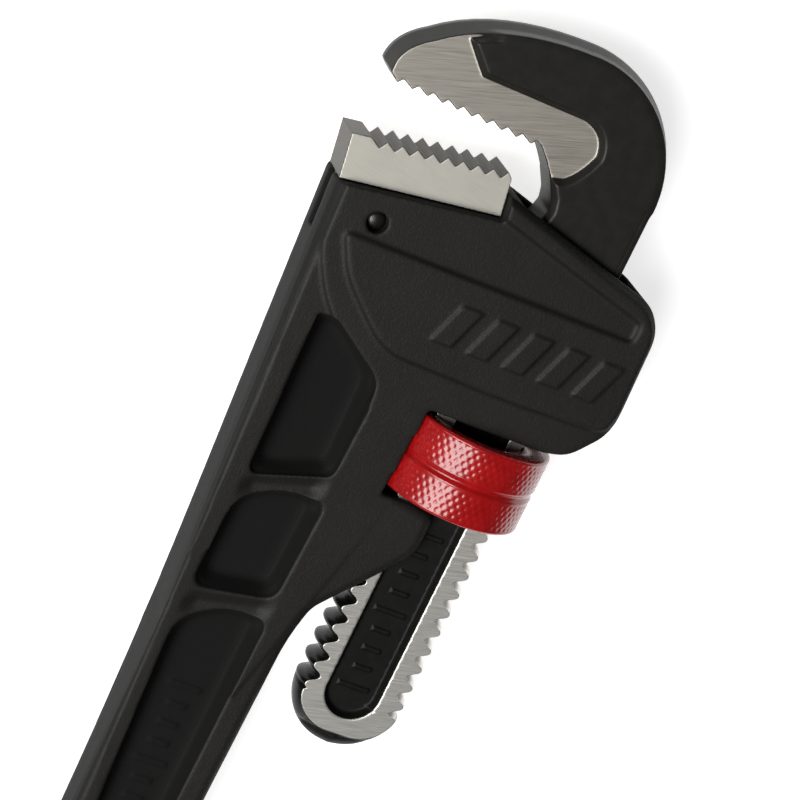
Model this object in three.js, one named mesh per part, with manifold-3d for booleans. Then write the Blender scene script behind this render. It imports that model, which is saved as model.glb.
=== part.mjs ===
// A straight pipe wrench, nominal size 450 mm, with its jaws nearly closed.
// Units are millimetres. The wrench lies on its side: +Y runs along the threaded shank towards
// the jaws, +X points to the hook side, +Z is the thickness. While modelling, the thread axis is
// X = Z = 0; the last lines move the origin to the bottom centre of the whole wrench.

import * as THREE from 'three'
import { ConvexGeometry } from 'three/addons/geometries/ConvexGeometry.js'
import { mergeVertices } from 'three/addons/utils/BufferGeometryUtils.js'
import Module from 'manifold-3d'

const wasm = await Module()
wasm.setup()

// ---- driving dimensions ----

const GAP = 0.3 // between pieces that touch
const FAR = 60 // reach of a cutter past everything it cuts

// casting: half thicknesses, edge rounding, and the lines of its two long edges
const HANDLE_END = -283
const FLANGE_BEND = -60 // the handle thickens faster from here to the head
const FLANGE_HALF = 9.2 // at the bend
const FLANGE_TAPER = [0.0027, 0.0125] // growth of the half thickness below and above the bend
const EDGE_DROP = 5 // the handle's long edges round over this much in height
const EDGE_SPREAD = 3 // and this much in width
const HEAD_HALF = 11.6
const HEAD_BEVEL = { drop: 1, spread: 0.7 }
const PANEL_HALF = 12.8
const RAMP = { low: -14, lowHalf: 9.6, high: 10.5, back: -33.6, front: -17 }
const WEB_HALF = 3.2 // floor of the handle's pockets
const POCKET_SLOPE = 3.1 // how far the pocket walls lean in
const PANEL_SLOPE = 1
const MARK_HEIGHT = 0.6 // raised bars that decorate the casting and the shank
const PANEL_BARS = { x: -27, low: 34.5, high: 45.5, pitch: 10.5, width: 5.5, slant: 4, count: 5 }
const SCALE_BARS = { long: 4.6, short: 2.6, width: 1.2, count: 9 }
const POCKET_SCALE = [-44, -84] // the first bar in the long pocket
const backEdge = y => -62.2 - 0.0335 * y
const frontEdge = y => -27.4 + 0.025 * (y + 60)
const GRIP_WAIST = -205
const GRIP_HALF_WIDTH = 16
const GRIP_X = -43.5
const HANG_HOLE_RADIUS = 6.5

// thread of the shank and the nut
const PITCH = 6
const THREAD_MEAN = 14.3
const THREAD_WAVE = 1.4
const THREAD_CREST_Y = -19.4
const THREAD_BOTTOM = -71
const THREAD_TOP = 31
const THREAD_SIDES = 36
const STEPS_PER_PITCH = 6
const THREAD_PLAY = 0.45
const AXIAL_PLAY = 0.35

// adjusting nut
const NUT_BOTTOM = -8.3
const NUT_TOP = 14.2
const NUT_RADIUS = 21.1
const NUT_CHAMFER = 1
const NUT_GROOVE_WIDTH = 2.4
const NUT_GROOVE_DEPTH = 0.9

// hook jaw
const SHANK_HALF = 6.25
const FOOT = { edgeHalf: 0.5, slope: 1.2 }
const THICK_BOTTOM = 39 // where the forging thickens above the shank
const HOOK_HALF = 8
const SHANK_FRONT = 15.9
const NECK = {
  throat: [-20.6, 90.6], bend: [-15.6, 86], waist: [-12.2, 79.8], narrow: [-11.3, 76], low: [-12.2, 72.6],
  back: [-15.4, 66]
}
const NOSE = { tip: [-67.3, 95], round: [-67.3, 101.5], shoulder: [-59.5, 106.9], bulge: [-44, 118.8] }
const HOOK_CROWN = 2.2 // the hook's back bulges this much between face and parting line
const THICK_STEP = 1.5 // width of the slope from the ground mouth up to the thick forging
const HOOK_CENTRE = [-17, 86]
const HOOK_RADIUS = 33.3
const HOOK_TOOTH = { x: -62.5, y: 91.3, pitch: 4.32, rise: 1.2, height: 1.45, drop: 0.13, count: 10 }
const RECESS_HALF_WIDTH = 8.2
const RECESS_X = -0.6
const RECESS_DEPTH = 2.5
const RECESS_SLOPE = 1.6
const RECESS_BOTTOM = -76.6
const RECESS_TOP = 33
const RECESS_CORNER = 8
const RECESS_SCALE_Y = -20 // the first bar in the recess

// heel jaw, its tang and pin
const HEEL_CORNER = [-66.2, 63.2]
const HEEL_ANGLE = THREE.MathUtils.degToRad(8.5)
const HEEL_LENGTH = 43.9
const HEEL_HEIGHT = 12.4
const HEEL_HALF = 7.75
const HEEL_LAND = 5.2
const HEEL_TOOTH = { pitch: 4.1, height: 2.2, lean: 1.7, count: 9 }
const TANG_HALF = 1.95
const TANG_DEPTH = 15
const TANG_LENGTH = 34
const HEEL_PIN = [-53, 57.1]
const HEEL_PIN_RADIUS = 2.5
const HEEL_PIN_HALF = 9.6

// window of the housing, passage and pocket for the nut
const WINDOW_BACK = -18.2
const WINDOW_FRONT = 22.5
const WINDOW_HALF = 8.5
const WINDOW_BOTTOM = 27
const PASSAGE_HALF_WIDTH = 17.5
const NUT_POCKET_RADIUS = 21.8
const NUT_POCKET_BOTTOM = -10.9
const NUT_POCKET_TOP = 15.9
const SLOT_BACK = -19.5

// springs
const LEAF = { pinX: -19.2, pinY: 33, eye: 2.3, thickness: 0.9, top: 62, half: 5, bow: 0.9 }
const SPRING_PIN_RADIUS = 1.1
const SPRING_PIN_HALF = 10.6
const COIL = { y: 50, inner: SHANK_FRONT + 2 * GAP, outer: 25.4, radius: 2.5, wire: 0.4, turns: 5 }
const COIL_POCKET_RADIUS = 4.2
const COIL_POCKET_END = 27.4

// ---- helpers ----

function solid(geometry) {
  const bare = geometry.clone()
  bare.deleteAttribute('normal')
  bare.deleteAttribute('uv')
  const merged = mergeVertices(bare, 1e-4)
  const vertProperties = new Float32Array(merged.attributes.position.array)
  const triVerts = new Uint32Array(merged.index.array)
  return new wasm.Manifold(new wasm.Mesh({ numProp: 3, vertProperties, triVerts }))
}

function toGeometry(body) {
  const mesh = body.getMesh()
  const geometry = new THREE.BufferGeometry()
  geometry.setAttribute('position', new THREE.BufferAttribute(mesh.vertProperties, 3))
  geometry.setIndex(new THREE.BufferAttribute(mesh.triVerts, 1))
  geometry.computeVertexNormals()
  return geometry
}

const joined = (first, ...others) => others.reduce((sum, next) => sum.add(next), first)
const cut = (body, ...cutters) => cutters.reduce((rest, cutter) => rest.subtract(cutter), body)

// A closed outline from corners [x, y, softness]: softness is how far the corner's curve reaches.
function outline(corners) {
  const shape = new THREE.Shape()
  corners.forEach(([x, y, softness = 0], i) => {
    const corner = new THREE.Vector2(x, y)
    const before = new THREE.Vector2(...corners.at(i - 1))
    const after = new THREE.Vector2(...corners[(i + 1) % corners.length])
    const start = corner.clone().add(before.sub(corner).setLength(softness))
    const end = corner.clone().add(after.sub(corner).setLength(softness))
    if (i === 0) shape.moveTo(start.x, start.y)
    else shape.lineTo(start.x, start.y)
    if (softness > 0) shape.quadraticCurveTo(x, y, end.x, end.y)
  })
  shape.closePath()
  return shape
}

// A plate of the outline between two heights.
function plate(shape, low, high, curveSegments = 4) {
  const settings = { depth: high - low, bevelEnabled: false, curveSegments }
  return solid(new THREE.ExtrudeGeometry(shape, settings).translate(0, 0, low))
}

// The geometry of a plate centred on Z = 0 whose two faces have the outline, and whose rim widens
// by `spread` over `drop` below each face: in a slope, or rounded if it has several steps.
function rimmed(shape, half, drop, spread, curveSegments = 4, bevelSegments = 1) {
  const settings = {
    depth: 2 * (half - drop), bevelThickness: drop, bevelSize: spread, bevelSegments, curveSegments
  }
  return new THREE.ExtrudeGeometry(shape, settings).translate(0, 0, drop - half)
}

const slopedPlate = (...sizes) => solid(rimmed(...sizes))

// Cutters for a convex recess with leaning walls in both faces: the outline at `rim`, and the
// same outline drawn in by `slope` at `floor`.
function recesses(shape, rim, floor, slope) {
  const points = shape.getPoints(4)
  const box = new THREE.Box2().setFromPoints(points)
  const middle = box.getCenter(new THREE.Vector2())
  const size = box.getSize(new THREE.Vector2())
  const shrink = new THREE.Vector2(1 - 2 * slope / size.x, 1 - 2 * slope / size.y)
  const inner = points.map(point => point.clone().sub(middle).multiply(shrink).add(middle))
  return [1, -1].map(side => {
    const layer = (ring, z) => ring.map(point => new THREE.Vector3(point.x, point.y, side * z))
    return solid(new ConvexGeometry([...layer(inner, floor), ...layer(points, rim), ...layer(points, FAR)]))
  })
}

function block(xLow, xHigh, yLow, yHigh, zHalf) {
  const box = new THREE.BoxGeometry(xHigh - xLow, yHigh - yLow, 2 * zHalf)
  return solid(box.translate((xLow + xHigh) / 2, (yLow + yHigh) / 2, 0))
}

// A round bar along Z, centred on Z = 0.
function crossBar(x, y, radius, half, sides = 24) {
  const bar = new THREE.CylinderGeometry(radius, radius, 2 * half, sides).rotateX(Math.PI / 2)
  return solid(bar.translate(x, y, 0))
}

// A place in the heel jaw's own directions: along its seat, and square to it.
function onHeel(along, up) {
  const c = Math.cos(HEEL_ANGLE)
  const s = Math.sin(HEEL_ANGLE)
  return [HEEL_CORNER[0] + along * c - up * s, HEEL_CORNER[1] + along * s + up * c]
}

// Radius of the right-hand thread at a turn angle about +Y (from +X) and a height y.
function threadRadius(angle, y) {
  const phase = 2 * Math.PI * (y - THREAD_CREST_Y) / PITCH - angle
  return THREAD_MEAN + THREAD_WAVE * Math.cos(phase)
}

function nutThreadRadius(angle, y) {
  const near = [-AXIAL_PLAY, 0, AXIAL_PLAY].map(shift => threadRadius(angle, y + shift))
  return THREAD_PLAY + Math.max(...near)
}

// A round bar along Y between two heights, its wall pushed out to radiusAt(angle, y).
function threadedBar(yLow, yHigh, radiusAt) {
  const steps = Math.round((yHigh - yLow) * STEPS_PER_PITCH / PITCH)
  const bar = new THREE.CylinderGeometry(1, 1, yHigh - yLow, THREAD_SIDES, steps)
  bar.translate(0, (yLow + yHigh) / 2, 0)
  const places = bar.attributes.position
  for (let i = 0; i < places.count; i++) {
    const [x, y, z] = [places.getX(i), places.getY(i), places.getZ(i)]
    if (Math.hypot(x, z) < 0.5) continue
    const angle = Math.atan2(-z, x)
    const radius = radiusAt(angle, y)
    places.setXYZ(i, radius * Math.cos(angle), y, -radius * Math.sin(angle))
  }
  return solid(bar)
}

// ---- the casting: handle and housing in one piece ----

function handleOutline() {
  const waist = GRIP_WAIST
  return outline([
    [backEdge(67), 67],
    [backEdge(FLANGE_BEND), FLANGE_BEND],
    [backEdge(waist), waist, 30],
    [GRIP_X - GRIP_HALF_WIDTH, HANDLE_END + EDGE_SPREAD, 14],
    [GRIP_X + GRIP_HALF_WIDTH, HANDLE_END + EDGE_SPREAD, 14],
    [frontEdge(waist), waist, 30],
    [frontEdge(-59), -59, 7],
    [-24.8, -47.5, 3],
    [-11.2, -31, 5],
    [-5, -23, 3],
    [-5, -14, 1],
    [-16, -12],
    [-16, 64]
  ])
}

function headOutline() {
  return outline([
    [backEdge(65), 65],
    [backEdge(47), 47, 2],
    [-57, 33, 10],
    [-37, 17.5, 5],
    [-33, 10],
    [RAMP.front, 10],
    [RAMP.front, NUT_POCKET_TOP],
    [15, 16.4, 3],
    [22, 18, 3],
    [28.6, 26, 2.4],
    [30, 31, 2.4],
    [29, 57, 3.6],
    [24.5, 63.2, 3.6],
    [-24.4, 76]
  ])
}

// The raised face of the housing; the open wedge above its crease stays at head level.
function panelOutline() {
  return outline([
    [-59.3, 51.8, 1.5],
    [-54.2, 41.8, 5],
    [-37.4, 26.9, 7],
    [0, 26.3, 8],
    [27.6, 27.6, 2],
    [29.2, 33, 2],
    [28.2, 56.6, 3.4],
    [23.7, 62.4, 3.4],
    [-23.6, 74.9],
    [-22.4, 71],
    [24.2, 58.8, 2],
    [24, 52.5, 2]
  ])
}

// The flange has rounded edges, and its thickness grows slowly towards the head.
function makeFlange() {
  const flange = rimmed(handleOutline(), FLANGE_HALF, EDGE_DROP, EDGE_SPREAD, 5, 3)
  const places = flange.attributes.position
  for (let i = 0; i < places.count; i++) {
    const beyond = places.getY(i) - FLANGE_BEND
    const growth = beyond * FLANGE_TAPER[beyond < 0 ? 0 : 1]
    places.setZ(i, places.getZ(i) * (1 + growth / FLANGE_HALF))
  }
  return solid(flange)
}

// Beside the nut the handle rises to the head's level without a step.
function makeRamp() {
  const { low, lowHalf, high, back, front } = RAMP
  const corners = []
  for (const x of [back, front]) {
    for (const side of [1, -1]) {
      corners.push(new THREE.Vector3(x, low, side * lowHalf))
      corners.push(new THREE.Vector3(x, high, side * HEAD_HALF))
      corners.push(new THREE.Vector3(x, high + 1, side * HEAD_HALF))
    }
  }
  return solid(new ConvexGeometry(corners))
}

function pocketCutters() {
  const rim = FLANGE_HALF
  const nearHead = outline([
    [-56.6, 29.4, 1], [-51.5, 29.6, 1], [-34.2, 18, 4], [-33.8, -11.5, 3],
    [-40.5, -13.1, 3], [-55.8, -18.6, 4]
  ])
  const middle = outline([
    [-55.6, -25.4, 5], [-43.8, -18.6, 8], [-32.4, -19, 3], [-33.6, -49.4, 4],
    [-45, -51, 4], [-56.6, -53.2, 5]
  ])
  const longest = outline([
    [-56.4, -63, 6], [-44, -55.4, 8], [-32.6, -56, 3],
    [frontEdge(GRIP_WAIST) - 4.5, GRIP_WAIST, 9],
    [(backEdge(GRIP_WAIST) + frontEdge(GRIP_WAIST)) / 2, GRIP_WAIST - 14, 5],
    [backEdge(GRIP_WAIST) + 4.5, GRIP_WAIST, 9]
  ])
  return [nearHead, middle, longest].flatMap(rimLine => recesses(rimLine, rim, WEB_HALF, POCKET_SLOPE))
}

// Raised slanted bars on the housing's face, and graduation bars on the long pocket's floor.
function raisedMarks() {
  const { x, low, high, pitch, width, slant, count } = PANEL_BARS
  const marks = []
  for (let i = 0; i < count; i++) {
    const start = x + i * pitch
    const bar = outline([
      [start, low], [start + width, low], [start + width + slant, high], [start + slant, high]
    ])
    marks.push(slopedPlate(bar, PANEL_HALF + MARK_HEIGHT, MARK_HEIGHT + 0.2, MARK_HEIGHT))
  }
  return marks.concat(scaleBars(...POCKET_SCALE, WEB_HALF))
}

// Raised bars across a floor at `half`, going down from y; every fourth one is longer.
function scaleBars(x, y, half) {
  return Array.from({ length: SCALE_BARS.count }, (_, i) => {
    const reach = i % 4 === 0 ? SCALE_BARS.long : SCALE_BARS.short
    const low = y - i * PITCH
    const high = low + SCALE_BARS.width
    const bar = outline([[x - reach, low], [x + reach, low], [x + reach, high], [x - reach, high]])
    return slopedPlate(bar, half + MARK_HEIGHT, MARK_HEIGHT + 0.2, MARK_HEIGHT / 2)
  })
}

function headCutters() {
  const heelSeat = outline([
    onHeel(-FAR, 0), onHeel(HEEL_LENGTH + GAP, 0), onHeel(HEEL_LENGTH + GAP, FAR), onHeel(-FAR, FAR)
  ])
  const tangSlot = outline([
    onHeel(-FAR, -TANG_DEPTH - GAP), onHeel(TANG_LENGTH + GAP, -TANG_DEPTH - GAP),
    onHeel(TANG_LENGTH + GAP, 1), onHeel(-FAR, 1)
  ])
  const nutPocket = new THREE.CylinderGeometry(
    NUT_POCKET_RADIUS, NUT_POCKET_RADIUS, NUT_POCKET_TOP - NUT_POCKET_BOTTOM, 72
  ).translate(0, (NUT_POCKET_TOP + NUT_POCKET_BOTTOM) / 2, 0)
  const coilPocket = new THREE.CylinderGeometry(
    COIL_POCKET_RADIUS, COIL_POCKET_RADIUS, COIL_POCKET_END, 20
  ).rotateZ(Math.PI / 2).translate(COIL_POCKET_END / 2, COIL.y, 0)
  return [
    plate(heelSeat, -FAR, FAR),
    plate(tangSlot, -TANG_HALF - GAP, TANG_HALF + GAP),
    solid(nutPocket),
    block(0, FAR, -FAR, NUT_POCKET_TOP, FAR),
    block(WINDOW_BACK, WINDOW_FRONT, WINDOW_BOTTOM, 2 * FAR, WINDOW_HALF),
    block(-PASSAGE_HALF_WIDTH, PASSAGE_HALF_WIDTH, -FAR, WINDOW_BOTTOM + 1, SHANK_HALF + GAP),
    block(SLOT_BACK, PASSAGE_HALF_WIDTH, -FAR, 0, SHANK_HALF + GAP),
    solid(coilPocket),
    crossBar(...HEEL_PIN, HEEL_PIN_RADIUS + GAP, FAR),
    crossBar(LEAF.pinX, LEAF.pinY, LEAF.eye + 2 * GAP, WINDOW_HALF, 20),
    crossBar(LEAF.pinX, LEAF.pinY, SPRING_PIN_RADIUS + GAP, SPRING_PIN_HALF + GAP, 16),
    crossBar(GRIP_X, HANDLE_END + GRIP_HALF_WIDTH, HANG_HOLE_RADIUS, FAR, 32)
  ]
}

function makeHandle() {
  const handle = cut(makeFlange(), ...pocketCutters())
  const head = slopedPlate(headOutline(), HEAD_HALF, HEAD_BEVEL.drop, HEAD_BEVEL.spread)
  const panel = slopedPlate(panelOutline(), PANEL_HALF, PANEL_HALF - HEAD_HALF, PANEL_SLOPE)
  const pockets = pocketCutters().slice(0, 2)
  const housing = cut(joined(head, panel, makeRamp()), ...pockets)
  return cut(joined(handle, housing, ...raisedMarks()), ...headCutters())
}

// ---- hook jaw ----

function hookOutline() {
  const { x, y, pitch, rise, height, drop, count } = HOOK_TOOTH
  const [cx, cy] = HOOK_CENTRE
  const shape = new THREE.Shape()
  shape.moveTo(x, y)
  for (let i = 0; i < count; i++) {
    const tipY = y - drop * i
    shape.lineTo(x + pitch * i, tipY)
    shape.lineTo(x + pitch * i + rise, tipY + height)
  }
  shape.lineTo(...NECK.throat)
  shape.quadraticCurveTo(...NECK.bend, ...NECK.waist)
  shape.lineTo(...NECK.narrow)
  shape.lineTo(...NECK.low)
  shape.lineTo(...NECK.back)
  shape.lineTo(NECK.back[0], THREAD_TOP)
  shape.lineTo(SHANK_FRONT, THREAD_TOP)
  shape.lineTo(SHANK_FRONT, cy)
  shape.absarc(cx, cy, HOOK_RADIUS, 0, Math.PI / 2, false)
  shape.quadraticCurveTo(...NOSE.bulge, ...NOSE.shoulder)
  shape.quadraticCurveTo(...NOSE.round, ...NOSE.tip)
  return shape
}

// The hook's outer back from the nose to the shank's front, drawn in by `inset`, and closed off
// wide of the teeth and of the shank's rear.
function hookBackOutline(inset) {
  const [cx, cy] = HOOK_CENTRE
  const { tip, round, shoulder, bulge } = NOSE
  const shape = new THREE.Shape()
  shape.moveTo(tip[0] + inset, THREAD_TOP - 1)
  shape.lineTo(SHANK_FRONT - inset, THREAD_TOP - 1)
  shape.lineTo(SHANK_FRONT - inset, cy)
  shape.absarc(cx, cy, HOOK_RADIUS - inset, 0, Math.PI / 2, false)
  shape.quadraticCurveTo(bulge[0], bulge[1] - inset, shoulder[0] + inset / 2, shoulder[1] - inset)
  shape.quadraticCurveTo(round[0] + inset, round[1] - inset / 2, tip[0] + inset, tip[1])
  return shape
}

// The thick part of the forging: everything but the ground mouth and the threaded length.
function thickOutline() {
  const [cx, cy] = HOOK_CENTRE
  const inset = HOOK_CROWN + THICK_STEP
  const shape = new THREE.Shape()
  shape.moveTo(NECK.back[0] + THICK_STEP, THICK_BOTTOM)
  shape.lineTo(SHANK_FRONT - inset, THICK_BOTTOM)
  shape.lineTo(SHANK_FRONT - inset, cy)
  shape.absarc(cx, cy, HOOK_RADIUS - inset, 0, Math.PI / 2, false)
  shape.quadraticCurveTo(-35, 115.4, -48.3, 108.6)
  shape.lineTo(-42.3, 102.7)
  shape.lineTo(-13, 102.7)
  shape.quadraticCurveTo(-5.2, 101.2, -4.6, 93.5)
  shape.quadraticCurveTo(-7, 86.6, -11, 83.6)
  shape.lineTo(-13.1, 83.3)
  for (const [x, y] of [NECK.waist, NECK.narrow, NECK.low, NECK.back]) {
    shape.lineTo(x + THICK_STEP, y)
  }
  return shape
}

// The shank's rounded foot, with its flat narrow edges sloping in below the thread.
function makeFoot() {
  const foot = new THREE.Shape()
  foot.moveTo(-THREAD_MEAN, THREAD_BOTTOM)
  foot.absarc(0, THREAD_BOTTOM, THREAD_MEAN, Math.PI, 2 * Math.PI, false)
  return slopedPlate(foot, SHANK_HALF, SHANK_HALF - FOOT.edgeHalf, FOOT.slope, 12)
}

function makeHookJaw() {
  const slab = block(-FAR, FAR, THREAD_BOTTOM, THREAD_TOP + 1, SHANK_HALF)
  const shank = threadedBar(THREAD_BOTTOM, THREAD_TOP, threadRadius).intersect(slab)
  const crown = slopedPlate(hookBackOutline(HOOK_CROWN), SHANK_HALF, SHANK_HALF - 1, HOOK_CROWN, 10)
  const hook = plate(hookOutline(), -SHANK_HALF, SHANK_HALF, 10).intersect(crown)
  const thick = slopedPlate(thickOutline(), HOOK_HALF, HOOK_HALF - SHANK_HALF, THICK_STEP, 8)
  const left = RECESS_X - RECESS_HALF_WIDTH
  const right = RECESS_X + RECESS_HALF_WIDTH
  const recess = outline([
    [left, RECESS_BOTTOM, RECESS_CORNER], [right, RECESS_BOTTOM, RECESS_CORNER],
    [right, RECESS_TOP, RECESS_CORNER], [left, RECESS_TOP, RECESS_CORNER]
  ])
  const floor = SHANK_HALF - RECESS_DEPTH
  const cutters = recesses(recess, SHANK_HALF, floor, RECESS_SLOPE)
  const body = cut(joined(shank, makeFoot(), hook, thick), ...cutters)
  return joined(body, ...scaleBars(RECESS_X, RECESS_SCALE_Y, floor))
}

// ---- adjusting nut ----

function makeNut() {
  const middle = (NUT_BOTTOM + NUT_TOP) / 2
  const groove = NUT_RADIUS - NUT_GROOVE_DEPTH
  const half = NUT_GROOVE_WIDTH / 2
  const profile = [
    [0, NUT_BOTTOM], [NUT_RADIUS - NUT_CHAMFER, NUT_BOTTOM], [NUT_RADIUS, NUT_BOTTOM + NUT_CHAMFER],
    [NUT_RADIUS, middle - half], [groove, middle - half + 0.4],
    [groove, middle + half - 0.4], [NUT_RADIUS, middle + half],
    [NUT_RADIUS, NUT_TOP - NUT_CHAMFER], [NUT_RADIUS - NUT_CHAMFER, NUT_TOP], [0, NUT_TOP]
  ].map(([r, y]) => new THREE.Vector2(r, y))
  const outside = solid(new THREE.LatheGeometry(profile, 48))
  const reach = PITCH / 2
  return cut(outside, threadedBar(NUT_BOTTOM - reach, NUT_TOP + reach, nutThreadRadius))
}

// ---- heel jaw and its pin ----

function makeHeelJaw() {
  const { pitch, height, lean, count } = HEEL_TOOTH
  const root = HEEL_HEIGHT - height
  const first = HEEL_LENGTH - 3.2 - (count - 1) * pitch
  const corners = [onHeel(0, GAP), onHeel(HEEL_LENGTH, GAP), onHeel(HEEL_LENGTH - 0.2, root + 0.4)]
  for (let i = count - 1; i >= 0; i--) {
    corners.push(onHeel(first + i * pitch + lean, HEEL_HEIGHT - 0.2))
    corners.push(onHeel(first + i * pitch, root))
  }
  corners.push(onHeel(HEEL_LAND, HEEL_HEIGHT), onHeel(0, HEEL_HEIGHT))
  const tang = outline([
    onHeel(0.6, -TANG_DEPTH), onHeel(TANG_LENGTH, -TANG_DEPTH), onHeel(TANG_LENGTH, 1), onHeel(0.6, 1)
  ])
  const body = joined(plate(outline(corners), -HEEL_HALF, HEEL_HALF), plate(tang, -TANG_HALF, TANG_HALF))
  return cut(body, crossBar(...HEEL_PIN, HEEL_PIN_RADIUS + GAP, FAR))
}

// A straight pin along Z with low domed ends.
function makePin([x, y], radius, half, sides) {
  const dome = radius * 0.4
  const profile = [
    [0, -half], [radius * 0.7, -half + dome * 0.3], [radius, -half + dome],
    [radius, half - dome], [radius * 0.7, half - dome * 0.3], [0, half]
  ].map(([r, z]) => new THREE.Vector2(r, z))
  return solid(new THREE.LatheGeometry(profile, sides).rotateX(Math.PI / 2).translate(x, y, 0))
}

// ---- springs ----

// A leaf with an eye rolled around the spring pin, bowed a little towards the shank.
function makeFlatSpring() {
  const { pinX, pinY, eye, thickness, top, half, bow } = LEAF
  const front = pinX + eye
  const middle = (pinY + top) / 2
  const leaf = new THREE.Shape()
  leaf.moveTo(front, pinY)
  leaf.quadraticCurveTo(front + 2 * bow, middle, front, top)
  leaf.lineTo(front - thickness, top)
  leaf.quadraticCurveTo(front + 2 * bow - thickness, middle, front - thickness, pinY)
  const ring = cut(crossBar(pinX, pinY, eye, half, 20), crossBar(pinX, pinY, eye - thickness, FAR, 20))
  return joined(plate(leaf, -half, half, 6), ring)
}

function makeCoilSpring() {
  const { y, inner, outer, radius, wire, turns } = COIL
  const steps = turns * 12
  const length = outer - inner - 2 * wire
  const points = Array.from({ length: steps + 1 }, (_, i) => {
    const angle = 2 * Math.PI * turns * i / steps
    const x = inner + wire + length * i / steps
    return new THREE.Vector3(x, y + radius * Math.cos(angle), radius * Math.sin(angle))
  })
  const section = new THREE.Shape()
  section.absarc(0, 0, wire, 0, 2 * Math.PI, false)
  const extrudePath = new THREE.CatmullRomCurve3(points)
  const settings = { steps, extrudePath, curveSegments: 3, bevelEnabled: false }
  return solid(new THREE.ExtrudeGeometry(section, settings))
}

// ---- assembly ----

const steel = (color, roughness) => new THREE.MeshStandardMaterial({ color, roughness, metalness: 0.9 })
const paint = (color, roughness) => new THREE.MeshStandardMaterial({ color, roughness, metalness: 0.1 })

const wrench = new THREE.Group()

function addPiece(name, body, material) {
  const mesh = new THREE.Mesh(toGeometry(body), material)
  mesh.name = name
  wrench.add(mesh)
}

addPiece('handle', makeHandle(), paint(0x2b2a28, 0.6))
addPiece('hook_jaw', makeHookJaw(), steel(0x3a3936, 0.45))
addPiece('heel_jaw', makeHeelJaw(), steel(0xb9b5ae, 0.4))
addPiece('heel_jaw_pin', makePin(HEEL_PIN, HEEL_PIN_RADIUS, HEEL_PIN_HALF, 20), steel(0x2e2d2b, 0.35))
addPiece('adjusting_nut', makeNut(), paint(0xc4161c, 0.3))
addPiece('flat_spring', makeFlatSpring(), steel(0x6d6a66, 0.4))
addPiece('coil_spring', makeCoilSpring(), steel(0x8a8782, 0.35))
const springPin = makePin([LEAF.pinX, LEAF.pinY], SPRING_PIN_RADIUS, SPRING_PIN_HALF, 12)
addPiece('spring_pin', springPin, steel(0x77746f, 0.4))

const bounds = new THREE.Box3().setFromObject(wrench)
const centre = bounds.getCenter(new THREE.Vector3())
wrench.position.set(-centre.x, -centre.y, -bounds.min.z)
wrench.updateMatrixWorld(true)

export default wrench
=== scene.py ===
import math
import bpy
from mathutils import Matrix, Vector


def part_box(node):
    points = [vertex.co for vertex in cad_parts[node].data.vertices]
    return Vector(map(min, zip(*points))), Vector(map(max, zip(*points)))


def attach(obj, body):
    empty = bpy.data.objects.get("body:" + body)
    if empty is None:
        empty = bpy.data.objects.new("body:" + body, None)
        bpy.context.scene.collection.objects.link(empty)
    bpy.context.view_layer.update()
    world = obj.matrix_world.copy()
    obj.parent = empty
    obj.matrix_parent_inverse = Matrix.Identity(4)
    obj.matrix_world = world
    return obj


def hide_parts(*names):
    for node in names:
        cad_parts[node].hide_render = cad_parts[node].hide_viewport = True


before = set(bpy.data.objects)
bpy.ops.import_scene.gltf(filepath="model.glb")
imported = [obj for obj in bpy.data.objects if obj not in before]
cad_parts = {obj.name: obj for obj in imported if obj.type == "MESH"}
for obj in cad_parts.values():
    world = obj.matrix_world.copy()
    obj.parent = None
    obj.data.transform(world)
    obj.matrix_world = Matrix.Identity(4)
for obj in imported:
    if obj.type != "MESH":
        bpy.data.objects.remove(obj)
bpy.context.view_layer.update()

from types import SimpleNamespace

import bmesh
import bpy
import numpy as np
from mathutils import Matrix, Vector

# ---- shared sizes, in millimetres along the thread's own axes ----
# The nut sits on the thread's axis, so its box gives the place of that axis.

MM = 0.001
NUT_LOW, NUT_HIGH = (Vector(corner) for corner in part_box("adjusting_nut"))
NUT_BOTTOM = -8.3
NUT_CENTRE = (NUT_LOW + NUT_HIGH) / 2
ORIGIN = Vector((NUT_CENTRE.x, NUT_LOW.y - NUT_BOTTOM * MM, NUT_CENTRE.z))

PITCH = 6.0
THREAD_MEAN = 14.3
THREAD_WAVE = 1.4
THREAD_OUTER = THREAD_MEAN + THREAD_WAVE
THREAD_CREST_Y = -19.4
THREAD_PLAY = 0.45
SHANK_HALF = 6.25
SHANK_TOP = 32.0


def place(point):
    """A point given in millimetres from the thread's axis, in the row frame."""
    return ORIGIN + Vector(point) * MM


# ---- mesh helpers ----

def smoothstep(low, high, value):
    t = np.clip((value - low) / (high - low), 0.0, 1.0)
    return t * t * (3 - 2 * t)


def new_piece(name, mesh, body, material, replaced=None):
    """A finished mesh as a piece that rides on a body."""
    piece = bpy.data.objects.new(name, mesh)
    bpy.context.collection.objects.link(piece)
    mesh.materials.clear()
    mesh.materials.append(material)
    mesh.polygons.foreach_set("use_smooth", [True] * len(mesh.polygons))
    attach(piece, body)
    if replaced:
        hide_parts(replaced)
    return piece


def grid_mesh(name, points, wrap_rows=False):
    """A closed mesh from rings of points in millimetres, with flat caps unless the rows close up."""
    rows, columns = points.shape[:2]
    vertices = points.reshape(-1, 3) * MM + np.array(ORIGIN)
    faces = []
    for i in range(rows if wrap_rows else rows - 1):
        low, high = i * columns, (i + 1) % rows * columns
        for j in range(columns):
            k = (j + 1) % columns
            faces.append((low + j, low + k, high + k, high + j))
    if not wrap_rows:
        faces.append(tuple(range(columns)))
        faces.append(tuple(range((rows - 1) * columns, rows * columns)))
    mesh = bpy.data.meshes.new(name)
    mesh.from_pydata([tuple(v) for v in vertices], [], faces)
    work = bmesh.new()
    work.from_mesh(mesh)
    bmesh.ops.recalc_face_normals(work, faces=work.faces)
    work.to_mesh(mesh)
    work.free()
    return mesh


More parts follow.
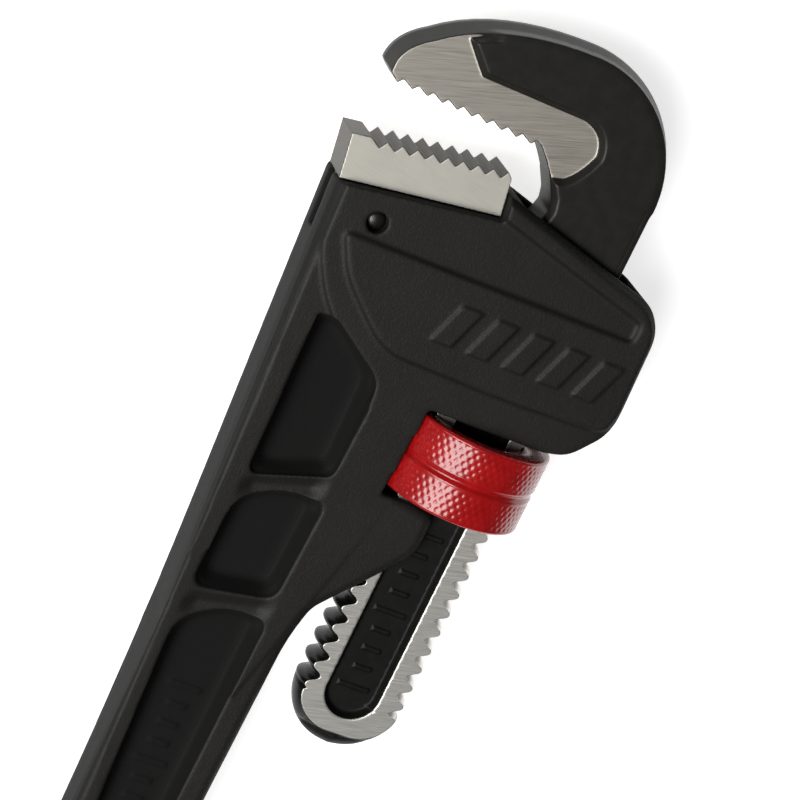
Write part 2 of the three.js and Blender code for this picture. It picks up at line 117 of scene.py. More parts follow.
def cad_copy(node, keep_above=None):
    """A welded copy of a CAD node's mesh; with keep_above, only what lies above that Y."""
    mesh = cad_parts[node].data.copy()
    work = bmesh.new()
    work.from_mesh(mesh)
    bmesh.ops.remove_doubles(work, verts=work.verts, dist=1e-6)
    if keep_above is not None:
        everything = work.verts[:] + work.edges[:] + work.faces[:]
        level = place((0, keep_above, 0))
        cut = bmesh.ops.bisect_plane(
            work, geom=everything, plane_co=level, plane_no=(0, 1, 0), clear_inner=True
        )
        edges = [e for e in cut["geom_cut"] if isinstance(e, bmesh.types.BMEdge)]
        bmesh.ops.holes_fill(work, edges=edges)
    work.to_mesh(mesh)
    work.free()
    return mesh


def with_modifier(mesh, kind, **settings):
    """The mesh after one modifier."""
    holder = bpy.data.objects.new("holder", mesh)
    bpy.context.collection.objects.link(holder)
    modifier = holder.modifiers.new("step", kind)
    for key, value in settings.items():
        setattr(modifier, key, value)
    graph = bpy.context.evaluated_depsgraph_get()
    result = bpy.data.meshes.new_from_object(holder.evaluated_get(graph), depsgraph=graph)
    bpy.data.objects.remove(holder)
    return result


def recast(mesh, voxel, rounds):
    """The mesh rebuilt in small even faces, with its edges softened."""
    even = with_modifier(mesh, "REMESH", mode="VOXEL", voxel_size=voxel * MM)
    return with_modifier(even, "SMOOTH", factor=0.5, iterations=rounds)


def vertex_array(mesh):
    """The vertices in millimetres from the thread's axis."""
    flat = np.empty(len(mesh.vertices) * 3)
    mesh.vertices.foreach_get("co", flat)
    return (flat.reshape(-1, 3) - np.array(ORIGIN)) / MM


def store_vertices(mesh, points):
    mesh.vertices.foreach_set("co", (points * MM + np.array(ORIGIN)).ravel())
    mesh.update()


# ---- node helpers ----

class Shader:
    """A node material under construction. Coordinates are the piece's own, in millimetres."""

    def __init__(self, name):
        self.material = bpy.data.materials.new(name)
        self.material.use_nodes = True
        self.tree = self.material.node_tree
        self.surface = self.tree.nodes["Principled BSDF"]
        self.coordinates = self.tree.nodes.new("ShaderNodeTexCoord")
        shifted = self.node("ShaderNodeVectorMath", operation="SUBTRACT")
        self.link(self.coordinates.outputs["Object"], shifted.inputs[0])
        shifted.inputs[1].default_value = ORIGIN
        scaled = self.node("ShaderNodeVectorMath", operation="SCALE")
        self.link(shifted.outputs[0], scaled.inputs[0])
        scaled.inputs["Scale"].default_value = 1 / MM
        self.place = scaled.outputs[0]
        split = self.node("ShaderNodeSeparateXYZ")
        self.link(self.place, split.inputs[0])
        self.x, self.y, self.z = split.outputs
        turned = self.node("ShaderNodeSeparateXYZ")
        self.link(self.coordinates.outputs["Normal"], turned.inputs[0])
        self.facing = self.math("ABSOLUTE", turned.outputs[2])
        self.height = self.math("ABSOLUTE", self.z)

    def node(self, kind, **settings):
        made = self.tree.nodes.new(kind)
        for key, value in settings.items():
            setattr(made, key, value)
        return made

    def link(self, source, target):
        self.tree.links.new(source, target)

    def feed(self, target, value):
        if hasattr(value, "is_output"):
            self.link(value, target)
        else:
            target.default_value = value

    def math(self, operation, *values):
        made = self.node("ShaderNodeMath", operation=operation)
        for socket, value in zip(made.inputs, values):
            self.feed(socket, value)
        return made.outputs[0]

    def ramp(self, value, low, high):
        """0 below low, 1 above high, smooth between."""
        made = self.node("ShaderNodeMapRange", interpolation_type="SMOOTHSTEP")
        self.feed(made.inputs["Value"], value)
        made.inputs["From Min"].default_value = low
        made.inputs["From Max"].default_value = high
        return made.outputs[0]

    def fit(self, value, low, high):
        """A 0 to 1 value stretched to low..high."""
        made = self.node("ShaderNodeMapRange")
        self.feed(made.inputs["Value"], value)
        made.inputs["To Min"].default_value = low
        made.inputs["To Max"].default_value = high
        return made.outputs[0]

    def noise(self, size, detail=2.0, stretch=(1, 1, 1), turn=0.0):
        """Noise with lumps of about `size` millimetres, longer along an axis with a large stretch."""
        turned = self.node("ShaderNodeVectorRotate", rotation_type="Z_AXIS")
        self.link(self.place, turned.inputs["Vector"])
        turned.inputs["Angle"].default_value = -math.radians(turn)
        mapping = self.node("ShaderNodeMapping")
        self.link(turned.outputs[0], mapping.inputs["Vector"])
        mapping.inputs["Scale"].default_value = [1 / (size * s) for s in stretch]
        made = self.node("ShaderNodeTexNoise")
        made.inputs["Scale"].default_value = 1
        made.inputs["Detail"].default_value = detail
        self.link(mapping.outputs[0], made.inputs["Vector"])
        return made.outputs["Fac"]

    def mix(self, amount, first, second):
        made = self.node("ShaderNodeMix", data_type="RGBA")
        self.feed(made.inputs["Factor"], amount)
        for socket, value in ((made.inputs["A"], first), (made.inputs["B"], second)):
            self.feed(socket, (*value, 1) if isinstance(value, tuple) else value)
        return made.outputs["Result"]

    def blend(self, amount, first, second):
        """A number between first and second."""
        made = self.node("ShaderNodeMix", data_type="FLOAT")
        self.feed(made.inputs["Factor"], amount)
        self.feed(made.inputs["A"], first)
        self.feed(made.inputs["B"], second)
        return made.outputs["Result"]

    def mix_vectors(self, amount, first, second):
        made = self.node("ShaderNodeMix", data_type="VECTOR")
        self.feed(made.inputs["Factor"], amount)
        self.link(first, made.inputs[4])
        self.link(second, made.inputs[5])
        return made.outputs[1]

    def bump(self, height, depth, under=None):
        """Raises the surface by height times depth millimetres."""
        made = self.node("ShaderNodeBump")
        made.inputs["Distance"].default_value = depth * MM
        made.inputs["Strength"].default_value = 1
        self.link(height, made.inputs["Height"])
        if under:
            self.link(under, made.inputs["Normal"])
        return made.outputs[0]

    def finish(self, colour, roughness, metallic=None, normal=None, **fixed):
        self.feed(self.surface.inputs["Base Color"], colour)
        self.feed(self.surface.inputs["Roughness"], roughness)
        if metallic is not None:
            self.feed(self.surface.inputs["Metallic"], metallic)
        if normal is not None:
            self.link(normal, self.surface.inputs["Normal"])
        for key, value in fixed.items():
            self.surface.inputs[key.replace("_", " ")].default_value = value
        return self.material


# ---- materials ----

def casting_paint():
    """Matte black paint over sand-cast iron, roughest on the narrow sides and in the pockets, where
    painted shade also darkens the colour.
    """
    s = Shader("casting_paint")
    grains = s.noise(0.5, 2.0)
    lumps = s.noise(1.6, 3.0)
    blotches = s.noise(16.0, 3.0)
    colour = s.mix(s.ramp(blotches, 0.3, 0.75), (0.0112, 0.0105, 0.0092), (0.0140, 0.0132, 0.0118))
    colour = s.mix(s.ramp(grains, 0.55, 0.8), colour, (0.024, 0.0228, 0.0208))
    flat = s.ramp(s.facing, 0.4, 0.9)
    # Flat faces sunk low in the handle's pockets; this mask drives painted shade and extra roughness
    # below.
    sunk = s.math("MULTIPLY", flat, s.math("SUBTRACT", 1.0, s.ramp(s.height, 5.5, 9.0)))
    # Painted shade: faces that turn sideways, the narrow sides, get a darker colour than the flat
    # faces.
    colour = s.mix(flat, (0.0045, 0.0043, 0.0038), colour)
    # Painted shade in the pockets: their flat floors get a darker colour.
    colour = s.mix(sunk, colour, (0.0030, 0.0028, 0.0025))
    matte = s.math("MAXIMUM", sunk, s.math("SUBTRACT", 1.0, flat))
    roughness = s.blend(matte, s.fit(s.noise(6.0, 2.0), 0.50, 0.62), 0.85)
    normal = s.bump(lumps, 0.05)
    normal = s.bump(grains, 0.09, normal)
    return s.finish(colour, roughness, normal=normal, Specular_IOR_Level=0.32)


def forging_finish():
    """Satin black over forged steel, with the mouth ground bare."""
    s = Shader("forging_finish")
    level = s.math("ADD", s.height, s.fit(s.noise(0.9, 2.0), -0.06, 0.06))
    flat = s.ramp(s.facing, 0.90, 0.97)
    below_step = s.math("SUBTRACT", 1.0, s.ramp(level, 6.42, 6.55))
    on_level = s.math("MULTIPLY", s.ramp(level, 6.02, 6.12), below_step)
    ground = s.math("MULTIPLY", flat, on_level)
    strokes = s.noise(0.22, 3.0, stretch=(45, 1, 8), turn=19)
    wide_strokes = s.noise(0.9, 2.0, stretch=(18, 1, 8), turn=16)
    steel = s.mix(s.ramp(strokes, 0.25, 0.8), (0.44, 0.41, 0.355), (0.68, 0.64, 0.57))
    steel = s.mix(s.ramp(wide_strokes, 0.3, 0.75), steel, (0.60, 0.56, 0.49))
    lumps = s.noise(4.0, 2.0)
    grains = s.noise(0.5, 3.0)
    black = s.mix(s.ramp(lumps, 0.3, 0.7), (0.0150, 0.0144, 0.0122), (0.0190, 0.0182, 0.0156))
    colour = s.mix(ground, black, steel)
    roughness = s.blend(ground, s.fit(grains, 0.36, 0.46), s.fit(strokes, 0.42, 0.56))
    painted = s.bump(lumps, 0.05)
    painted = s.bump(grains, 0.02, painted)
    brushed = s.bump(strokes, 0.008)
    normal = s.mix_vectors(ground, painted, brushed)
    metallic = s.math("MULTIPLY", ground, 0.9)
    return s.finish(colour, roughness, metallic, normal, Specular_IOR_Level=0.32)


def shank_finish():
    """Black shank with ground lands; its front thread is worn bare, its rear thread glossy black."""
    s = Shader("shank_finish")
    level = s.math("ADD", s.height, s.fit(s.noise(0.6, 2.0), -0.05, 0.05))
    ground = s.math("MULTIPLY", s.ramp(level, 6.03, 6.14), s.ramp(s.y, -81.4, -80.8))
    strokes = s.noise(0.2, 3.0, stretch=(45, 1, 8), turn=12)
    steel = s.mix(s.ramp(strokes, 0.25, 0.8), (0.60, 0.585, 0.53), (0.90, 0.885, 0.82))
    front = s.math("MULTIPLY", s.ramp(s.x, 9.0, 9.4), s.ramp(s.y, -72.5, -71.5))
    reach = s.node("ShaderNodeVectorMath", operation="LENGTH")
    across = s.node("ShaderNodeCombineXYZ")
    s.link(s.x, across.inputs[0])
    s.link(s.z, across.inputs[2])
    s.link(across.outputs[0], reach.inputs[0])
    crest = s.ramp(reach.outputs["Value"], 13.2, 15.2)
    worn = s.mix(crest, (0.14, 0.133, 0.122), (0.88, 0.85, 0.80))
    lumps = s.noise(2.5, 2.0)
    grains = s.noise(0.45, 3.0)
    black = s.mix(s.ramp(lumps, 0.3, 0.7), (0.0045, 0.0044, 0.0040), (0.0070, 0.0067, 0.0061))
    colour = s.mix(front, black, worn)
    colour = s.mix(ground, colour, steel)
    bare = s.math("MAXIMUM", ground, front)
    matte = s.ramp(s.x, -10.0, -9.0)
    dull = s.blend(matte, s.fit(grains, 0.22, 0.32), s.fit(grains, 0.46, 0.58))
    roughness = s.blend(bare, dull, s.fit(strokes, 0.38, 0.52))
    normal = s.bump(grains, 0.015)
    normal = s.bump(strokes, 0.005, normal)
    metallic = s.math("MULTIPLY", bare, 0.75)
    return s.finish(colour, roughness, metallic, normal, Specular_IOR_Level=0.25)


def heel_finish():
    """Ground steel sides; the toothed top and the ends keep a dark, rough skin."""
    s = Shader("heel_finish")
    side = s.ramp(s.facing, 0.80, 0.95)
    strokes = s.noise(0.2, 3.0, stretch=(40, 1, 8), turn=-8.5)
    blotches = s.noise(7.0, 2.0)
    steel = s.mix(s.ramp(strokes, 0.2, 0.85), (0.62, 0.60, 0.53), (0.70, 0.675, 0.60))
    steel = s.mix(s.ramp(blotches, 0.35, 0.75), steel, (0.69, 0.66, 0.585))
    skin = s.mix(s.noise(0.8, 3.0), (0.045, 0.040, 0.034), (0.095, 0.085, 0.073))
    colour = s.mix(side, skin, steel)
    roughness = s.blend(side, 0.5, s.fit(strokes, 0.44, 0.55))
    normal = s.bump(s.noise(0.5, 3.0), 0.015)
    normal = s.bump(strokes, 0.003, normal)
    return s.finish(colour, roughness, s.blend(side, 0.5, 0.45), normal)


def nut_paint():
    """Glossy red paint with soft clouds of tone."""
    s = Shader("nut_paint")
    clouds = s.noise(5.0, 2.0)
    colour = s.mix(s.ramp(clouds, 0.3, 0.7), (0.36, 0.0045, 0.005), (0.44, 0.008, 0.009))
    roughness = s.fit(s.noise(2.0, 2.0), 0.22, 0.32)
    normal = s.bump(s.noise(0.8, 2.0), 0.012)
    return s.finish(colour, roughness, 0.0, normal, Coat_Weight=0.4, Coat_Roughness=0.1)


def plain_steel(name, dark, light, low, high):
    """Bare or blackened steel with fine drawing marks."""
    s = Shader(name)
    marks = s.noise(0.25, 3.0, stretch=(1, 12, 1))
    colour = s.mix(s.ramp(marks, 0.3, 0.75), dark, light)
    normal = s.bump(marks, 0.006)
    return s.finish(colour, s.fit(marks, low, high), 0.9, normal)


# ---- the casting ----

RIBS = [((-34.0, -15.0), (-56.0, -22.0)), ((-33.0, -52.7), (-56.5, -58.2))]
RIB_DIP = 1.5
RIB_REACH = 3.0
POCKET = SimpleNamespace(
    back=-62.2, back_slope=-0.0335, front=-29.5, low_front=-27.4, low_slope=0.025, low_start=-60,
    margin=4.0,
)
SCALE = SimpleNamespace(x=-44, half=5.0, top=-82.5)


def dip_ribs(points):
    """The bars between the handle's pockets are slightly sunk and rounded."""
    x, y, z = points.T
    for (x1, y1), (x2, y2) in RIBS:
        middle = y1 + (y2 - y1) * (x - x1) / (x2 - x1)
        across = np.exp(-((y - middle) / RIB_REACH) ** 2)
        along = smoothstep(x2 - 1, x2 + 4, x) * (1 - smoothstep(x1 - 4, x1 + 1, x))
        top = smoothstep(6.0, 8.5, np.abs(z))
        z = z - np.sign(z) * RIB_DIP * across * along * top
    return np.stack([x, y, z], axis=1)


def pocket_share(points):
    """1 inside the handle's pockets, 0 on the casting's outer faces and on the raised scale."""
    x, y, z = points.T
    back = POCKET.back + POCKET.back_slope * y + POCKET.margin
    low_front = POCKET.low_front + POCKET.low_slope * (y - POCKET.low_start)
    front = np.where(y < POCKET.low_start, low_front, POCKET.front) - POCKET.margin
    inside = smoothstep(back, back + 1, x) * (1 - smoothstep(front - 1, front, x))
    inside = inside * (1 - smoothstep(6.9, 8.3, np.abs(z))) * (1 - smoothstep(27, 29, y))
    beside = smoothstep(SCALE.half, SCALE.half + 0.6, np.abs(x - SCALE.x))
    scale = (1 - beside) * (1 - smoothstep(SCALE.top, SCALE.top + 1, y))
    return inside * (1 - scale)


def nut_pocket_share(points):
    """1 around the edges of the pocket that holds the nut."""
    x, y, z = points.T
    reach = np.hypot(x, z)
    ring = smoothstep(18.5, 19.5, reach) * (1 - smoothstep(25, 27, reach))
    beside_nut = smoothstep(-15, -13, y) * (1 - smoothstep(18, 20, y))
    return ring * beside_nut * (1 - smoothstep(-16, -12, x))


def soften(mesh, rounds, share_of):
    """More smoothing, where share_of gives 1."""
    before = vertex_array(mesh)
    soft = vertex_array(with_modifier(mesh.copy(), "SMOOTH", factor=0.5, iterations=rounds))
    share = share_of(before)[:, None]
    store_vertices(mesh, before * (1 - share) + soft * share)


def make_casting(material):
    mesh = recast(cad_copy("handle"), 0.5, 3)
    store_vertices(mesh, dip_ribs(vertex_array(mesh)))
    soften(mesh, 50, pocket_share)
    soften(mesh, 5, nut_pocket_share)
    return new_piece("casting", mesh, "frame", material, "handle")


# ---- the hook jaw ----

RECESS = SimpleNamespace(x=-0.6, half=8.2, bottom=-68.4, top=24.8, depth=2.5, slope=1.6)
FOOT = SimpleNamespace(start=-71.5, tip=-86.4, land_tip=-81.6)
BARS = SimpleNamespace(first=-20.0, count=9, long=4.6, short=2.6, height=0.4)
FACE_POINTS = 96
EDGE_POINTS = 25
FOOT_ROWS = 56
ROW_STEP = 0.25


def thread_radius(angle, y):
    """A round-crested right-hand thread, with crests a little broader than its roots."""
    phase = 2 * np.pi * (y - THREAD_CREST_Y) / PITCH - angle
    wave = np.cos(phase)
    return THREAD_MEAN + THREAD_WAVE * wave * (1.18 - 0.18 * wave * wave)


def side_radius(angle, y):
    """Radius of the shank's narrow edges: the thread, the plain top and the round foot."""
    thread = np.minimum(thread_radius(angle, y), THREAD_OUTER)
    plain_top = smoothstep(SHANK_TOP - 2.0, SHANK_TOP - 1.0, y)
    shoulder = 1 - smoothstep(FOOT.start - 0.4, FOOT.start + 0.4, y)
    return thread + (THREAD_OUTER - 0.2 - thread) * np.maximum(plain_top, shoulder)


def foot_scale(y, tip):
    """How much of the width is left at y, for an end that rounds off to tip."""
    t = np.clip((FOOT.start - y) / (FOOT.start - tip), 0.0, 1.0)
    return np.sqrt(np.clip(1 - t * t, 0.0004, 1.0))


def recess_depth(x, y):
    """Depth of the stadium recess at a place on the shank's flat face, bars left standing in it."""
    along = np.clip(y, RECESS.bottom, RECESS.top)
    inside = RECESS.half - np.hypot(x - RECESS.x, y - along)
    depth = RECESS.depth * smoothstep(0.0, RECESS.slope, inside)
    step = (BARS.first - y) / PITCH
    index = np.clip(np.ceil(step - 0.1), 0, BARS.count - 1)
    start = BARS.first - index * PITCH
    reach = np.where(index % 4 == 0, BARS.long, BARS.short)
    rise = smoothstep(start - 0.25, start + 0.15, y) * (1 - smoothstep(start + 1.05, start + 1.45, y))
    rise = rise * (1 - smoothstep(reach - 0.2, reach + 0.25, np.abs(x - RECESS.x)))
    return depth - BARS.height * rise


def shank_ring(y):
    """The front and rear edges of one cross-section of the shank, and its half thickness."""
    edge_steps = np.linspace(-1, 1, EDGE_POINTS)
    outer = foot_scale(y, FOOT.tip)
    inner = foot_scale(y, FOOT.land_tip) if y > FOOT.land_tip else 0.02
    half = SHANK_HALF if y > FOOT.land_tip else SHANK_HALF * foot_drop(y)
    points = []
    for side in (1, -1):
        heights = side * half * np.sin(edge_steps * np.pi / 2)
        angle = np.arctan2(-heights, side * THREAD_MEAN)
        radius = side_radius(angle, y)
        reach = np.sqrt(np.maximum(radius ** 2 - (SHANK_HALF * heights / half) ** 2, 0.0))
        corner = np.sqrt(side_radius(angle[:1], y) ** 2 - SHANK_HALF ** 2)[0]
        blend = (np.abs(heights) / half) ** 3
        width = reach * (outer * (1 - blend) + inner * blend)
        points.append(np.stack([side * width, np.full_like(width, y), heights], axis=1))
    return points, half


def foot_drop(y):
    """How the foot thins below its land."""
    t = np.clip((FOOT.land_tip - y) / (FOOT.land_tip - FOOT.tip), 0.0, 1.0)
    return math.sqrt(max(1 - t * t, 0.003))


def face_row(start, end, y, half, side):
    """The flat face between the two edges, with its recess."""
    fractions = np.linspace(0, 1, FACE_POINTS + 2)[1:-1]
    x = start + (end - start) * fractions
    depth = recess_depth(x, y) if y > FOOT.land_tip else np.zeros_like(x)
    return np.stack([x, np.full_like(x, y), side * (half - depth)], axis=1)


def make_shank(material):
    rings = []
    towards_tip = np.sin(np.linspace(1, 0, FOOT_ROWS) * np.pi / 2)
    foot_rows = FOOT.start + (FOOT.tip + 0.02 - FOOT.start) * towards_tip
    thread_rows = np.arange(FOOT.start + ROW_STEP, SHANK_TOP, ROW_STEP)
    for y in np.concatenate([foot_rows, thread_rows]):
        (front, rear), half = shank_ring(y)
        near = face_row(front[-1, 0], rear[0, 0], y, half, 1)
        far = face_row(rear[-1, 0], front[0, 0], y, half, -1)
        rings.append(np.concatenate([front, near, rear, far]))
    mesh = grid_mesh("threaded_shank", np.array(rings))
    return new_piece("threaded_shank", mesh, "hook", material, "hook_jaw")


BACK = SimpleNamespace(x=-17.0, y=86.0, radius=33.3)  # the round of the hook's back
FRONT_X = 16.3
NOSE_CURVE = [(-17.0, 119.3), (-44.0, 118.8), (-59.5, 106.9)]
NOSE_FADE = (-47, -42)  # towards the nose the rounded edge fades out between these X
EDGE = SimpleNamespace(width=3.9, low=5.3, high=7.95)
THICK_START = 38.5  # below this the jaw is as thin as its shank
FAR = 99.0


def thick_share(points):
    """1 on the thick forging and along the hook's back, 0 on the ground mouth and its teeth."""
    x, y, z = points.T
    raised = smoothstep(6.3, 6.9, np.abs(z))
    from_back = smoothstep(30.2, 32.2, np.hypot(x - BACK.x, y - BACK.y))
    back = from_back * smoothstep(96, 99, y + 0.4 * (x - BACK.x))
    neck = (1 - smoothstep(84, 86, y)) + smoothstep(-6, 0, x)
    return np.clip(raised + back + neck, 0, 1)


def back_line():
    """The hook's outer line from the shank's front over the back to the nose."""
    turn = np.linspace(0, np.pi / 2, 60)
    across = BACK.x + BACK.radius * np.cos(turn)
    along = BACK.y + BACK.radius * np.sin(turn)
    front = np.stack([np.full(30, FRONT_X), np.linspace(SHANK_TOP, BACK.y, 30)], axis=1)
    t = np.linspace(0, 1, 60)[:, None]
    start, bulge, end = np.array(NOSE_CURVE)
    crest = (1 - t) ** 2 * start + 2 * t * (1 - t) * bulge + t ** 2 * end
    return np.concatenate([front, np.stack([across, along], axis=1), crest])


def round_back(points):
    """Gives the thick forging's outer edge an elliptical section, tight at the parting line."""
    x, y, z = points.T
    reach = np.full(len(x), FAR)
    near = (np.abs(z) > EDGE.low - 0.4) & (x > NOSE_FADE[0]) & (y > THICK_START)
    offsets = points[near, None, :2] - back_line()[None]
    reach[near] = np.sqrt((offsets ** 2).sum(axis=2)).min(axis=1)
    depth = np.clip(1 - reach / EDGE.width, 0, 1)
    arch = EDGE.low + (EDGE.high - EDGE.low) * np.sqrt(1 - depth ** 2)
    share = smoothstep(*NOSE_FADE, x) * (reach < EDGE.width) * smoothstep(0.15, 0.5, reach)
    lifted = np.abs(z) * (1 - share) + np.maximum(arch, np.abs(z)) * share
    return np.stack([x, y, np.where(near, np.sign(z) * lifted, z)], axis=1)


def make_hook(material):
    mesh = recast(cad_copy("hook_jaw", keep_above=SHANK_TOP - 0.4), 0.3, 2)
    store_vertices(mesh, round_back(vertex_array(mesh)))
    soften(mesh, 14, thick_share)
    return new_piece("hook_forging", mesh, "hook", material, "hook_jaw")


# ---- the adjusting nut ----

NUT = SimpleNamespace(
    top=14.2, radius=21.1, chamfer=1.0, bore=17.2, land=0.4, groove_half=1.6, groove_depth=0.7
)
KNURL = SimpleNamespace(columns=60, pitch=3.2, depth=0.15, samples=10, sharpness=2.2)


def knurl_depth(angle, y):
    """Depth below the points of a diamond knurl: two crossing families of grooves."""
    turn = angle * KNURL.columns / (2 * np.pi)
    first = np.cos(2 * np.pi * (turn + y / KNURL.pitch))
    second = np.cos(2 * np.pi * (turn - y / KNURL.pitch))
    return KNURL.depth * (0.5 - 0.25 * (first + second)) ** KNURL.sharpness


def knurled_rows(low, high):
    """Rows of one knurled band; the knurl runs out at both ends."""
    for y in np.arange(low + 0.15, high - 0.1, 0.27):
        yield (y, NUT.radius - 0.05, min(1.0, (y - low) / 0.7, (high - y) / 0.7), 0)


def nut_profile():
    """Rows around the nut's section: (y, radius, share of knurl, share of thread)."""
    bottom, top, radius, chamfer = NUT_BOTTOM, NUT.top, NUT.radius, NUT.chamfer
    middle = (bottom + top) / 2
    bend = np.linspace(0, np.pi / 2, 5)
    rounding = [(chamfer * (1 - math.sin(t)), radius - chamfer * (1 - math.cos(t))) for t in bend]
    end_face = np.linspace(radius - chamfer - NUT.land, NUT.bore, 5)
    rows = [(bottom + rise, reach, 0, 0) for rise, reach in reversed(rounding)]
    rows += knurled_rows(bottom + chamfer, middle - NUT.groove_half)
    for t in np.linspace(-1, 1, 13):
        depth = NUT.groove_depth * (0.5 + 0.5 * math.cos(math.pi * t))
        rows.append((middle + t * NUT.groove_half * 0.95, radius - depth, 0, 0))
    rows += knurled_rows(middle + NUT.groove_half, top - chamfer)
    rows += [(top - rise, reach, 0, 0) for rise, reach in rounding]
    rows += [(top, reach, 0, 0) for reach in end_face]
    rows += [(y, NUT.bore, 0, 1) for y in np.linspace(top - 0.6, bottom + 0.6, 70)]
    rows += [(bottom, reach, 0, 0) for reach in end_face[::-1]]
    return rows


def make_nut(material):
    angles = np.linspace(0, 2 * np.pi, KNURL.columns * KNURL.samples, endpoint=False)
    rings = []
    for y, radius, knurl, thread in nut_profile():
        reach = np.full_like(angles, radius)
        if knurl:
            reach = reach - knurl * knurl_depth(angles, y)
        if thread:
            reach = thread_radius(angles, y) + THREAD_PLAY + 0.1
        ring = [reach * np.cos(angles), np.full_like(angles, y), -reach * np.sin(angles)]
        rings.append(np.stack(ring, axis=1))
    mesh = grid_mesh("knurled_nut", np.array(rings), wrap_rows=True)
    return new_piece("knurled_nut", mesh, "nut", material, "adjusting_nut")


# ---- heel jaw, pins and springs ----

def make_heel(material):
    mesh = recast(cad_copy("heel_jaw"), 0.24, 2)
    return new_piece("toothed_heel", mesh, "frame", material, "heel_jaw")


DOME = 0.45  # height of a pin's domed end over its radius
WIRE = 0.4
COIL_TURNS = 5
COIL_STEPS = 40


def box_centre(node):
    """The centre and size of a CAD node's box, in millimetres."""
    low, high = (np.array(corner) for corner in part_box(node))
    return ((low + high) / 2 - np.array(ORIGIN)) / MM, (high - low) / MM


def make_pin(name, node, material):
    """A headless pin along Z with domed ends."""
    centre, size = box_centre(node)
    radius, half = size[0] / 2, size[2] / 2
    rise = radius * DOME
    bend = np.linspace(0.02, 1.35, 9)
    dome = [(radius * math.sin(t), half - rise * (1 - math.cos(t))) for t in bend]
    profile = dome + [(radius, half - rise), (radius, -half + rise)]
    profile += [(r, -z) for r, z in reversed(dome)]
    angles = np.linspace(0, 2 * np.pi, 48, endpoint=False)
    rings = [
        np.stack([r * np.cos(angles), r * np.sin(angles), np.full_like(angles, z)], axis=1) + centre
        for r, z in profile
    ]
    return new_piece(name, grid_mesh(name, np.array(rings)), "frame", material, node)


def make_coil(material):
    """The coil spring: a round wire along a helix about X."""
    centre, size = box_centre("coil_spring")
    length = size[0] - 2 * WIRE
    turn = np.linspace(0, 2 * np.pi * COIL_TURNS, COIL_TURNS * COIL_STEPS + 1)
    radius = size[1] / 2 - WIRE
    x = centre[0] - length / 2 + length * turn / turn[-1]
    y = centre[1] + radius * np.cos(turn)
    z = centre[2] + radius * np.sin(turn)
    path = np.stack([x, y, z], axis=1)
    tangent = np.gradient(path, axis=0)
    tangent /= np.linalg.norm(tangent, axis=1, keepdims=True)
    outward = np.stack([np.zeros_like(turn), np.cos(turn), np.sin(turn)], axis=1)
    across = np.cross(tangent, outward)
    angles = np.linspace(0, 2 * np.pi, 12, endpoint=False)[:, None]
    rings = [
        path[i] + WIRE * (np.cos(angles) * outward[i] + np.sin(angles) * across[i])
        for i in range(len(path))
    ]
    mesh = grid_mesh("wound_spring", np.array(rings))
    return new_piece("wound_spring", mesh, "jaw_guide", material, "coil_spring")


# ---- floor, light and camera ----

FLOOR_REACH = 6.0
FLOOR_WHITE = 0.8
FLOOR_GLOW = 0.75


def make_floor():
    mesh = bpy.data.meshes.new("floor")
    corners = [(x * FLOOR_REACH, y * FLOOR_REACH, 0) for x, y in ((-1, -1), (1, -1), (1, 1), (-1, 1))]
    mesh.from_pydata(corners, [], [(0, 1, 2, 3)])
    floor = bpy.data.objects.new("floor", mesh)
    bpy.context.collection.objects.link(floor)
    material = bpy.data.materials.new("floor_paper")
    material.use_nodes = True
    surface = material.node_tree.nodes["Principled BSDF"]
    surface.inputs["Base Color"].default_value = (FLOOR_WHITE, FLOOR_WHITE, FLOOR_WHITE, 1)
    surface.inputs["Roughness"].default_value = 0.9
    surface.inputs["Emission Color"].default_value = (1, 1, 1, 1)
    surface.inputs["Emission Strength"].default_value = FLOOR_GLOW
    mesh.materials.append(material)


def add_light(name, position, target, size, power):
    light = bpy.data.lights.new(name, "AREA")
    light.shape = "RECTANGLE"
    light.size, light.size_y = size
    light.energy = power
    lamp = bpy.data.objects.new(name, light)
    bpy.context.collection.objects.link(lamp)
    lamp.location = position
    lamp.rotation_euler = (Vector(target) - Vector(position)).to_track_quat("-Z", "Y").to_euler()


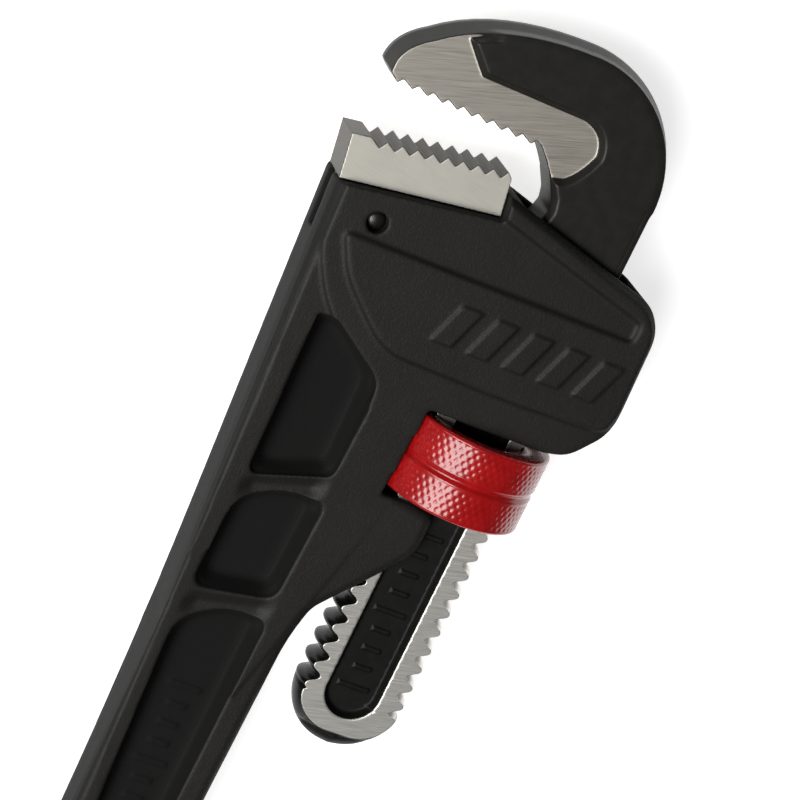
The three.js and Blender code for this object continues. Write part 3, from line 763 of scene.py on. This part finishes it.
def make_sky():
    """A studio tent: bright overhead, lit lower down only on the +X side."""
    world = bpy.data.worlds.new("studio")
    bpy.context.scene.world = world
    world.use_nodes = True
    tree = world.node_tree
    background = tree.nodes["Background"]
    coordinates = tree.nodes.new("ShaderNodeTexCoord")
    split = tree.nodes.new("ShaderNodeSeparateXYZ")
    tree.links.new(coordinates.outputs["Generated"], split.inputs[0])

    def ramp(source, low, high, start, end):
        made = tree.nodes.new("ShaderNodeMapRange")
        made.interpolation_type = "SMOOTHSTEP"
        tree.links.new(source, made.inputs["Value"])
        settings = {"From Min": low, "From Max": high, "To Min": start, "To Max": end}
        for key, value in settings.items():
            made.inputs[key].default_value = value
        return made.outputs[0]

    def math_node(operation, first, second):
        made = tree.nodes.new("ShaderNodeMath")
        made.operation = operation
        tree.links.new(first, made.inputs[0])
        tree.links.new(second, made.inputs[1])
        return made.outputs[0]

    overhead = ramp(split.outputs[2], 0.2, 0.85, 0.16, 0.56)
    low_side = ramp(split.outputs[0], 0.25, 0.95, 0.0, 0.3)
    tree.links.new(math_node("ADD", overhead, low_side), background.inputs["Strength"])


LENS = 121.5
SENSOR = 36.0
CAMERA_PLACE = (-239.94, 197.25, 657.49)
CAMERA_RIGHT = (0.89005, 0.42093, 0.17503)
CAMERA_UP = (-0.34111, 0.86966, -0.35685)
CAMERA_BACK = (-0.30242, 0.25791, 0.91762)


def make_camera():
    camera = bpy.data.cameras.new("camera")
    camera.lens = LENS
    camera.sensor_width = SENSOR
    camera.clip_start = 0.05
    holder = bpy.data.objects.new("camera", camera)
    bpy.context.collection.objects.link(holder)
    turn = Matrix((CAMERA_RIGHT, CAMERA_UP, CAMERA_BACK)).transposed().to_4x4()
    holder.matrix_world = Matrix.Translation(place(CAMERA_PLACE)) @ turn
    bpy.context.scene.camera = holder


make_camera()
make_floor()
make_sky()
CENTRE = place((0, 20, 0))
add_light("side_light", CENTRE + Vector((-1.35, 0.1, 1.02)), CENTRE, (0.34, 0.34), 1.5)
add_light("top_light", CENTRE + Vector((-0.75, -0.3, 1.3)), CENTRE, (0.9, 0.9), 24)
bpy.context.scene.view_settings.view_transform = "Standard"

bright_steel = plain_steel("bright_steel", (0.34, 0.33, 0.315), (0.50, 0.49, 0.47), 0.28, 0.38)
dark_steel = plain_steel("dark_steel", (0.05, 0.047, 0.043), (0.085, 0.08, 0.075), 0.30, 0.42)
make_casting(casting_paint())
make_hook(forging_finish())
make_shank(shank_finish())
make_nut(nut_paint())
make_heel(heel_finish())
make_pin("heel_pin", "heel_jaw_pin", dark_steel)
make_pin("spring_anchor", "spring_pin", bright_steel)
make_coil(bright_steel)
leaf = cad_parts["flat_spring"]
leaf.data.materials.clear()
leaf.data.materials.append(bright_steel)
